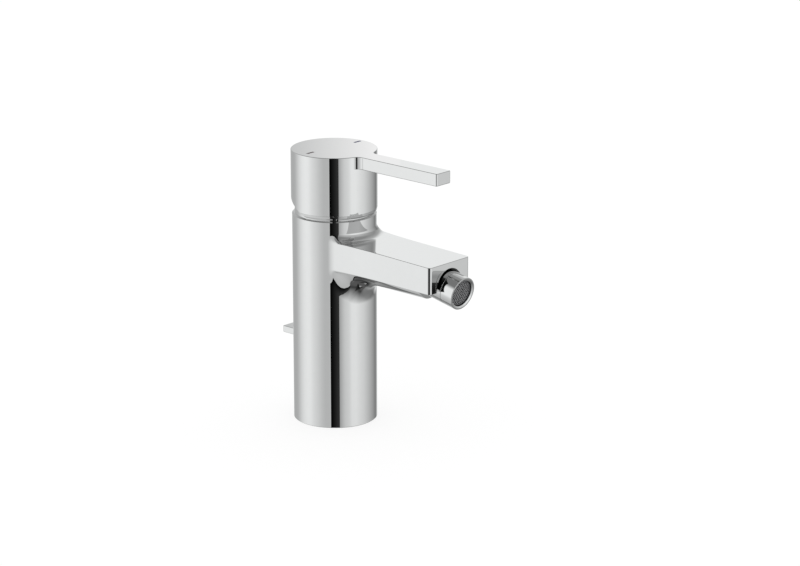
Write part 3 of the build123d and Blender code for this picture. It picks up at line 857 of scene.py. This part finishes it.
def make_nozzle_back():
    """The rear half of the nozzle with its spherical socket."""
    return settle(turned("nozzle_back", [
        (socket_bore_radius, 0, 0), (socket_bore_radius, ring_joint, 0),
        (nozzle_radius, ring_joint, ring_edge), (nozzle_radius, -nozzle_back, socket_edge),
        (socket_lip_radius, -nozzle_back, socket_lip_edge), (socket_lip_radius, socket_lip_front, 0)],
        True, nozzle_frame))


def make_nozzle_front():
    """The front half of the nozzle, with its dished rim."""
    start = ring_joint + joint_groove
    return settle(turned("nozzle_front", [
        (sleeve_bore, start, 0), (sleeve_bore, rim_back, 0), (rim_bore, rim_back, 0), (rim_bore, rim_dish, 0),
        (rim_edge_radius, nozzle_front, 0), (nozzle_radius, nozzle_front, nozzle_edge),
        (nozzle_radius, start, ring_edge)], True, nozzle_frame))


def feed(tree, socket, value):
    """Gives a socket a value or a link."""
    if isinstance(value, bpy.types.NodeSocket):
        tree.links.new(value, socket)
    else:
        socket.default_value = value


def add_node(tree, kind, **sockets):
    """Adds a node, with values or links for its inputs."""
    node = tree.nodes.new(kind)
    for name, value in sockets.items():
        feed(tree, node.inputs[name.replace("_", " ")], value)
    return node


def add_math(tree, operation, *values):
    """A number worked out from one or two others."""
    node = tree.nodes.new("ShaderNodeMath")
    node.operation = operation
    for value, socket in zip(values, node.inputs):
        feed(tree, socket, value)
    return node.outputs[0]


def add_blend(tree, share, first, second):
    """A colour between two colours."""
    blend = add_node(tree, "ShaderNodeMix")
    blend.data_type = "RGBA"
    feed(tree, blend.inputs["Factor"], share)
    for socket, colour in zip((i for i in blend.inputs if i.type == "RGBA"), (first, second)):
        feed(tree, socket, colour)
    return next(o for o in blend.outputs if o.type == "RGBA")


def grey(level):
    """A plain grey."""
    return (level, level, level, 1)


def net_tree():
    """Geometry nodes that weave wires over and under each other in a round net."""
    tree = bpy.data.node_groups.new("woven_net", "GeometryNodeTree")
    put = partial(add_node, tree)
    count = partial(add_math, tree)
    for name in ("Pitch", "Wire Radius", "Wave Height", "Net Radius", "Turn"):
        tree.interface.new_socket(name, in_out="INPUT", socket_type="NodeSocketFloat")
    tree.interface.new_socket("Wire Material", in_out="INPUT", socket_type="NodeSocketMaterial")
    tree.interface.new_socket("Net", in_out="OUTPUT", socket_type="NodeSocketGeometry")
    given = put("NodeGroupInput").outputs
    wires_beside = count("FLOOR", count("DIVIDE", given["Net Radius"], given["Pitch"]))
    span = count("MULTIPLY", wires_beside, given["Pitch"])
    back = count("MULTIPLY", span, -1.0)
    wires = count("ADD", count("MULTIPLY", wires_beside, 2.0), 1.0)
    points = count("ADD", count("MULTIPLY", wires_beside, wire_steps), 1.0)
    lines = []
    for number, axis in ((wires, "Y"), (points, "X")):
        start, end = (put("ShaderNodeCombineXYZ", **{axis: place}).outputs[0] for place in (back, span))
        line = put("GeometryNodeMeshLine", Count=number, Start_Location=start, Offset=end)
        line.mode = "END_POINTS"
        lines.append(line.outputs[0])
    rows = put("GeometryNodeInstanceOnPoints", Points=lines[0], Instance=lines[1])
    flat = put("GeometryNodeRealizeInstances", Geometry=rows.outputs[0]).outputs[0]
    ring = put("GeometryNodeCurvePrimitiveCircle", Resolution=wire_sides, Radius=given["Wire Radius"])
    joined = put("GeometryNodeJoinGeometry")
    for turn, side in ((0, 1.0), (right_angle, -1.0)):
        turned_rows = put("GeometryNodeTransform", Geometry=flat, Rotation=(0, 0, turn)).outputs[0]
        x, y, _ = put("ShaderNodeSeparateXYZ", Vector=put("GeometryNodeInputPosition").outputs[0]).outputs
        phase = count("DIVIDE", count("MULTIPLY", count("ADD", x, y), pi), given["Pitch"])
        rise = count("MULTIPLY", count("MULTIPLY", count("COSINE", phase), given["Wave Height"]), side)
        offset = put("ShaderNodeCombineXYZ", Z=rise).outputs[0]
        reach = count("SQRT", count("ADD", count("MULTIPLY", x, x), count("MULTIPLY", y, y)))
        outside = count("GREATER_THAN", reach, given["Net Radius"])
        trimmed = put("GeometryNodeDeleteGeometry", Geometry=turned_rows, Selection=outside).outputs[0]
        waved = put("GeometryNodeSetPosition", Geometry=trimmed, Offset=offset).outputs[0]
        curves = put("GeometryNodeMeshToCurve", Mesh=waved).outputs[0]
        wire = put("GeometryNodeCurveToMesh", Curve=curves, Profile_Curve=ring.outputs[0], Fill_Caps=True)
        feed(tree, joined.inputs[0], wire.outputs[0])
    turn = put("ShaderNodeCombineXYZ", Z=given["Turn"]).outputs[0]
    aimed = put("GeometryNodeTransform", Geometry=joined.outputs[0], Rotation=turn)
    real = put("GeometryNodeRealizeInstances", Geometry=aimed.outputs[0])
    coated = put("GeometryNodeSetMaterial", Geometry=real.outputs[0], Material=given["Wire Material"])
    feed(tree, put("NodeGroupOutput").inputs[0], coated.outputs[0])
    return tree


def make_net():
    """The aerator's woven net."""
    piece = placed("net", bpy.data.meshes.new("net"))
    weave = piece.modifiers.new("weave", "NODES")
    weave.node_group = net_tree()
    values = {"Pitch": net_pitch * mm, "Wire Radius": net_wire * mm, "Wave Height": net_wave * mm,
              "Net Radius": net_radius * mm, "Turn": net_turn, "Wire Material": net_steel}
    for item in weave.node_group.interface.items_tree:
        if item.in_out == "INPUT":
            weave[item.identifier] = values[item.name]
    mesh = worked_out(piece)
    place = nozzle_frame @ Vector((0, 0, net_height)) * mm
    mesh.transform(Matrix.Translation(place) @ nozzle_frame.to_3x3().to_4x4())
    mesh.shade_smooth()
    piece.data = mesh
    return piece


def make_knob():
    """The tab behind the body with its neck and collar."""
    skin = Skin()
    x1, y1, z1 = high("rod_knob")
    z0 = low("rod_knob")[2]
    y0 = body_radius + knob_gap
    corners = [(-x1, y0, knob_edge), (-x1, y1, knob_corner), (x1, y1, knob_corner), (x1, y0, knob_edge)]
    rows = [rounding(sample, knob_edge, z0, -1, knob_steps)[::-1]
            + rounding(sample, knob_edge, z1, 1, knob_steps) for sample in soft_outline(corners, True)]
    skin.grid(rows)
    skin.flat([row[0][0] for row in rows[:-1]], (0, 0, -1))
    skin.flat([row[-1][0] for row in rows[:-1]], (0, 0, 1))
    piece = skin.build("knob_skin")
    neck = block("neck", (-neck_half_width, rod_y, z0), (neck_half_width, y0 + knob_edge, z1))
    carve(piece, [neck, rod_like("collar", 0, rod_y, collar_radius, z0, z1)], "UNION")
    bore = rod_like("knob_bore", 0, rod_y, knob_bore, z0 - knob_edge, z1 + knob_edge)
    return settle(carve(piece, [bore]))


def surface(name, light, dark, metal, shine, grain, depth, specular=0.5):
    """A finish with a fine grain: two near tones, a range of roughness and a shallow bump."""
    material = bpy.data.materials.new(name)
    material.use_nodes = True
    tree = material.node_tree
    place = add_node(tree, "ShaderNodeTexCoord").outputs["Object"]
    noise = add_node(tree, "ShaderNodeTexNoise", Scale=1 / (grain * mm), Detail=4, Vector=place)
    share = noise.outputs["Fac"]
    spread = add_node(tree, "ShaderNodeMapRange", To_Min=shine[0], To_Max=shine[1], Value=share)
    bump = add_node(tree, "ShaderNodeBump", Distance=depth * mm, Height=share)
    for name, value in (
            ("Metallic", metal), ("Specular IOR Level", specular), ("Roughness", spread.outputs["Result"]),
            ("Base Color", add_blend(tree, share, (*light, 1), (*dark, 1))),
            ("Normal", bump.outputs["Normal"])):
        feed(tree, tree.nodes["Principled BSDF"].inputs[name], value)
    return material


chrome = surface("polished_chrome", (0.85, 0.85, 0.85), (0.82, 0.82, 0.82), 1, (0.005, 0.03), 3, 0.0)
brass = surface("machined_brass", (0.80, 0.62, 0.33), (0.66, 0.48, 0.24), 1, (0.2, 0.35), 0.8, 0.01)
steel = surface("turned_steel", (0.62, 0.62, 0.63), (0.50, 0.50, 0.51), 1, (0.2, 0.35), 0.6, 0.01)
alumina = surface("lapped_alumina", (0.93, 0.92, 0.89), (0.88, 0.87, 0.84), 0, (0.25, 0.4), 0.5, 0.002)
acetal = surface("white_acetal", (0.90, 0.90, 0.88), (0.84, 0.84, 0.82), 0, (0.35, 0.5), 0.7, 0.005)
grey_plastic = surface("grey_plastic", (0.48, 0.49, 0.50), (0.42, 0.43, 0.44), 0, (0.4, 0.55), 0.7, 0.01)
black_plastic = surface(
    "black_plastic", (0.035, 0.035, 0.037), (0.02, 0.02, 0.021), 0, (0.3, 0.45), 0.7, 0.01)
rubber = surface("black_rubber", (0.03, 0.03, 0.03), (0.018, 0.018, 0.018), 0, (0.6, 0.75), 0.5, 0.02)
red_enamel = surface(
    "hot_enamel", (0.07, 0.035, 0.04), (0.05, 0.025, 0.03), 0, (0.4, 0.5), 0.3, 0.002, 0.15)
blue_enamel = surface(
    "cold_enamel", (0.03, 0.035, 0.12), (0.02, 0.025, 0.09), 0, (0.4, 0.5), 0.3, 0.002, 0.15)
# The aerator housing's own dark plastic, made darker still as painted shade so that the groove round the
# nozzle's mouth reads black.
housing_plastic_and_painted_shade = surface(
    "housing_plastic_and_painted_shade", (0.10, 0.10, 0.105), (0.07, 0.07, 0.075), 0, (0.3, 0.4), 0.5, 0.005)
net_steel = surface("net_steel", (0.50, 0.50, 0.51), (0.42, 0.42, 0.43), 0.4, (0.2, 0.35), 0.5, 0.002)

node_finishes = (
    (brass, "ball_stem cartridge_nut spindle"), (steel, "pivot_pin grub_screw lift_rod"),
    (alumina, "fixed_disc moving_disc"), (acetal, "disc_driver rod_guide seat_liner front_seat"),
    (grey_plastic, "cartridge_housing cartridge_base rotary_carrier screw_cap"),
    (housing_plastic_and_painted_shade, "aerator_housing"), (black_plastic, "jet_plate"),
    (rubber, "base_gasket port_seals carrier_seal aerator_washer"),
    (red_enamel, "hot_mark"), (blue_enamel, "cold_mark"))
for finish, node_names in node_finishes:
    for node_name in node_names.split():
        slots = frame["nodes"][node_name].data.materials
        slots.clear()
        slots.append(finish)

pieces = (
    (make_body, "body", "chrome_brass", "body_casting", chrome),
    (make_handle, "lever", "chrome_handle", "handle", chrome),
    (make_dome, "body", "chrome_trim", "trim_dome", chrome),
    (make_nozzle_back, "nozzle", "chrome_nozzle", "swivel_socket", chrome),
    (make_nozzle_front, "nozzle", "chrome_nozzle", "nozzle_sleeve", chrome),
    (make_net, "nozzle", "screen_steel", "aerator_screen", net_steel),
    (make_knob, "pop_up_rod", "chrome_trim", "rod_knob", chrome),
)
for make, body, slot_name, node_name, finish in pieces:
    piece = make()
    piece.data.materials.clear()
    piece.data.materials.append(finish)
    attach(piece, body)
    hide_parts(node_name)

# Camera, where the photograph was taken from
camera_azimuth = radians(-47.764)
camera_elevation = radians(16.513)
camera_place = (-1126.273, -1070.632, 536.540)
camera_lens = 133.34
camera_sensor = 36.0
camera_reach = 20
eye = bpy.data.cameras.new("camera")
eye.lens = camera_lens
eye.sensor_width = camera_sensor
eye.clip_end = camera_reach
camera = placed("camera", eye)
camera.location = Vector(camera_place) * mm
camera.rotation_euler = (right_angle - camera_elevation, 0, camera_azimuth)
bpy.context.scene.camera = camera

# Floor, white to the eye, with a faint trace of the mixer's own shadow
floor_half = 3.0
shadow_share = 0.25
paper_white = 0.9
paper_glow = 1.06
corners = [(x * floor_half, y * floor_half, 0) for x, y in ((-1, -1), (1, -1), (1, 1), (-1, 1))]
floor_mesh = bpy.data.meshes.new("floor")
floor_mesh.from_pydata(corners, [], [(0, 1, 2, 3)])
floor = placed("floor", floor_mesh)
floor.visible_glossy = False


def make_floor_paper():
    """White paper that glows a little for the camera."""
    material = bpy.data.materials.new("floor_paper")
    material.use_nodes = True
    tree = material.node_tree
    paper = tree.nodes["Principled BSDF"]
    feed(tree, paper.inputs["Base Color"], grey(paper_white))
    feed(tree, paper.inputs["Roughness"], paper_white)
    glow = add_node(tree, "ShaderNodeEmission", Strength=paper_glow)
    seen = add_node(tree, "ShaderNodeLightPath").outputs["Is Camera Ray"]
    mix = add_node(tree, "ShaderNodeMixShader", Fac=add_math(tree, "MULTIPLY", seen, 1 - shadow_share))
    feed(tree, mix.inputs[1], paper.outputs["BSDF"])
    feed(tree, mix.inputs[2], glow.outputs["Emission"])
    feed(tree, tree.nodes["Material Output"].inputs["Surface"], mix.outputs["Shader"])
    return material


floor_mesh.materials.append(make_floor_paper())

# Studio that the chrome reflects: levels round it, by degrees from the camera's side
studio_turn = radians(222.236)
studio_tint = (0.985, 1.0, 0.998)
right_stops = (
    (13, 0.42), (16, 0.47), (19, 0.536), (22, 0.6), (28, 0.7), (39, 0.785), (48, 0.916), (60, 0.925))
eye_band = (
    (-180, 0.93), (-174, 0.776), (-168, 0.585), (-162, 0.498), (-150, 0.465), (-135, 0.479), (-126, 0.51),
    (-114, 0.654), (-105, 0.783), (-93, 0.906), (-81, 0.953), (-72, 0.935), (-60, 0.81), (-48, 0.712),
    (-36, 0.599), (-27, 0.536), (-15, 0.53), (-12, 0.6), *right_stops,
    (87, 0.759), (105, 0.59), (147, 0.207), (180, 0.93))
upper_band = (
    (-180, 0.6), (-165, 0.58), (-150, 0.5), (-130, 0.48), (-110, 0.62), (-90, 0.93), (-72, 0.95), (-50, 0.6),
    (-30, 0.536), (-15, 0.53), (-12, 0.6), (13, 0.35), (30, 0.5), (50, 0.52), (70, 0.54), (90, 0.44),
    (110, 0.36), (130, 0.3), (150, 0.42), (165, 0.85), (180, 0.93))
ceiling_band = (
    (-180, 0.3), (-110, 0.2), (-60, 0.2), (-12, 0.3), (13, 0.2), (30, 0.25), (60, 0.3), (110, 0.27),
    (150, 0.45), (180, 0.5))
near_floor_band = (
    (-180, 0.8), (-150, 0.5), (-126, 0.55), (-110, 0.65), (-95, 0.75), (-70, 0.75), (-50, 0.68),
    (-30, 0.58), (-12, 0.53), *right_stops,
    (87, 0.65), (105, 0.35), (125, 0.2), (147, 0.12), (165, 0.4), (180, 0.8))
floor_band = (
    (-180, 0.3), (-150, 0.3), (-126, 0.4), (-70, 0.5), (-12, 0.53), (13, 0.05), (30, 0.06), (80, 0.06),
    (124, 0.2), (150, 0.25), (180, 0.3))
below_level = 0.1
strip_band = (
    (-180, 0.001), (-12, 0.001), (-9, 0.002), (-6, 0.0054), (-3, 0.0087), (0, 0.0129), (3, 0.018), (6, 0.024),
    (9, 0.031), (13, 0.034))
strip_left, strip_right = radians(-11.7), radians(12.8)
strip_blur = radians(0.3)
upper_reach = radians(5), radians(11)
ceiling_reach = radians(20), radians(45)
near_floor_reach = radians(-18), radians(-30)
floor_reach = radians(-14), radians(-68)
below_reach = radians(-72), radians(-78)
back_reach = radians(-177.7), radians(-179.5)
back_level = 0.96


def add_band(tree, share, stops):
    """A ring of levels round the studio."""
    ramp = add_node(tree, "ShaderNodeValToRGB", Fac=share)
    marks = ramp.color_ramp.elements
    marks.remove(marks[1])
    marks[0].position = 0
    for azimuth, level in stops:
        position = azimuth / 360 + 0.5
        mark = marks.new(position) if position else marks[0]
        mark.color = (*(level * tone for tone in studio_tint), 1)
    return ramp.outputs["Color"]


def add_range(tree, value, start, end, soft=False):
    """A value's share of the way between two limits."""
    node = add_node(tree, "ShaderNodeMapRange", From_Min=start, From_Max=end, Value=value)
    node.interpolation_type = "SMOOTHSTEP" if soft else "LINEAR"
    return node.outputs["Result"]


def make_studio():
    """The world: plain white light, and the studio's bands in the chrome."""
    world = bpy.data.worlds.new("studio")
    bpy.context.scene.world = world
    world.use_nodes = True
    tree = world.node_tree
    place = add_node(tree, "ShaderNodeTexCoord").outputs["Generated"]
    turn = add_node(tree, "ShaderNodeVectorRotate", Vector=place, Angle=-studio_turn)
    turn.rotation_type = "Z_AXIS"
    x, y, z = add_node(tree, "ShaderNodeSeparateXYZ", Vector=turn.outputs["Vector"]).outputs
    azimuth = add_math(tree, "ARCTAN2", y, x)
    share = add_range(tree, azimuth, -half_turn, half_turn)
    height = add_math(tree, "ARCSINE", z)
    upper = add_range(tree, height, *upper_reach, True)
    back = add_range(tree, azimuth, *back_reach)
    rear = add_blend(tree, back, add_band(tree, share, upper_band), grey(back_level))
    levels = add_blend(tree, upper, add_band(tree, share, eye_band), rear)
    for reach, soft, band in (
            (ceiling_reach, True, ceiling_band), (near_floor_reach, True, near_floor_band),
            (floor_reach, False, floor_band)):
        shown = add_range(tree, height, *reach, soft)
        levels = add_blend(tree, shown, levels, add_band(tree, share, band))
    levels = add_blend(tree, add_range(tree, height, *below_reach), levels, grey(below_level))
    from_left = add_range(tree, azimuth, strip_left - strip_blur, strip_left + strip_blur)
    from_right = add_range(tree, azimuth, strip_right + strip_blur, strip_right - strip_blur)
    inside = add_math(tree, "MULTIPLY", from_left, from_right)
    levels = add_blend(tree, inside, levels, add_band(tree, share, strip_band))
    reflected = add_node(tree, "ShaderNodeLightPath").outputs["Is Glossy Ray"]
    seen = add_blend(tree, reflected, grey(1), levels)
    feed(tree, tree.nodes["Background"].inputs["Color"], seen)


make_studio()

bpy.context.scene.view_settings.view_transform = "Standard"
